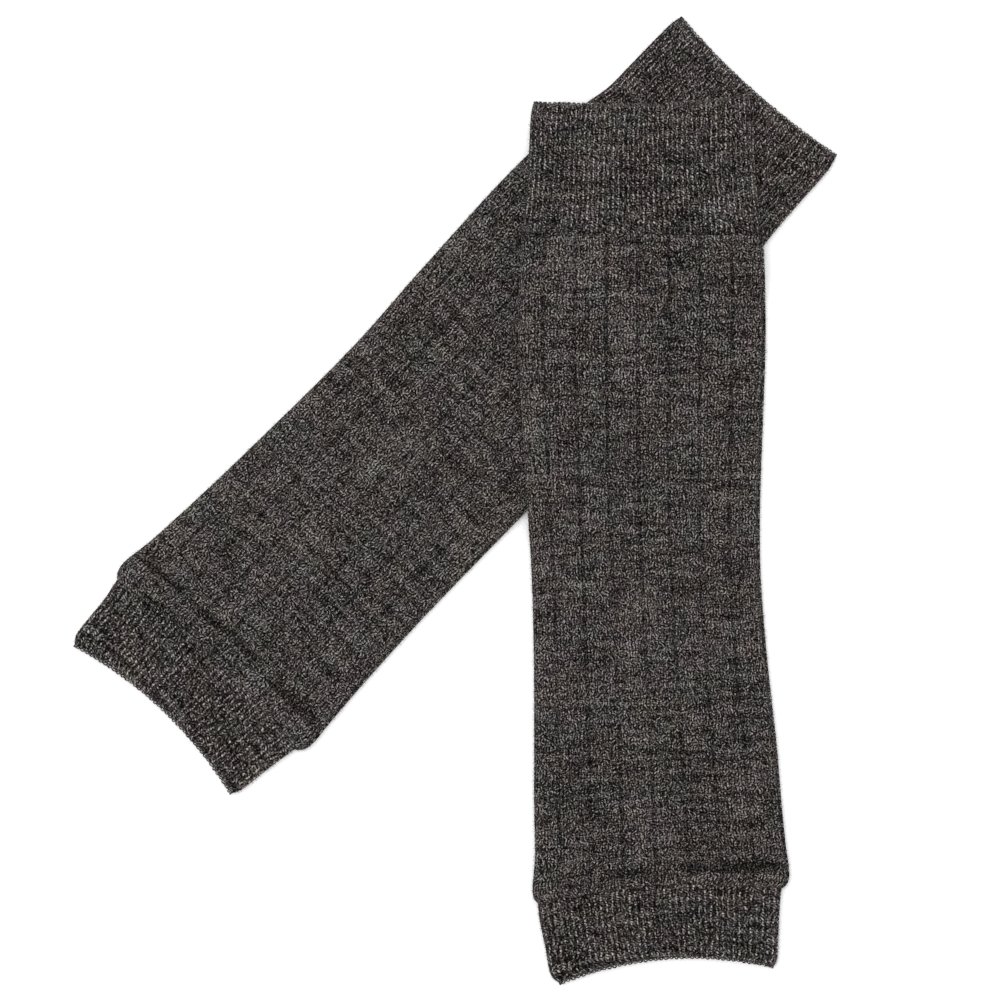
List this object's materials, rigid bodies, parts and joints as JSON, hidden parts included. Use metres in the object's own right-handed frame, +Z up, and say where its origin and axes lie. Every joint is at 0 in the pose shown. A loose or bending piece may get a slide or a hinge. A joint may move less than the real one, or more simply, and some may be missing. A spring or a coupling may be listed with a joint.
{
  "type": "pair of leg warmers",
  "caption": "Knitted ribbed tubes for the lower legs with fine ribbed cuffs at both ends, laid flat with one across the other.",
  "frame": {"origin": "on the surface that both leg warmers lie on, under the middle of the pair's outline", "axes": "+Z up from the surface, +Y towards the top ends, nearly along the upper leg warmer, +X to the right seen from above"},
  "size_m": [0.3523, 0.4465, 0.0091],
  "materials": {
    "leg_knit": "fuzzy dark charcoal-brown melange knit with wide flat ribs and narrow sunk grooves",
    "cuff_knit": "fuzzy dark charcoal-brown melange knit in fine one by one rib"
  },
  "bodies": {
    "root": {"over_top_cuff": "cuff_knit", "over_leg": "leg_knit", "over_ankle_cuff": "cuff_knit", "under_top_cuff": "cuff_knit", "under_leg": "leg_knit", "under_ankle_cuff": "cuff_knit"}
  },
  "joints": []
}
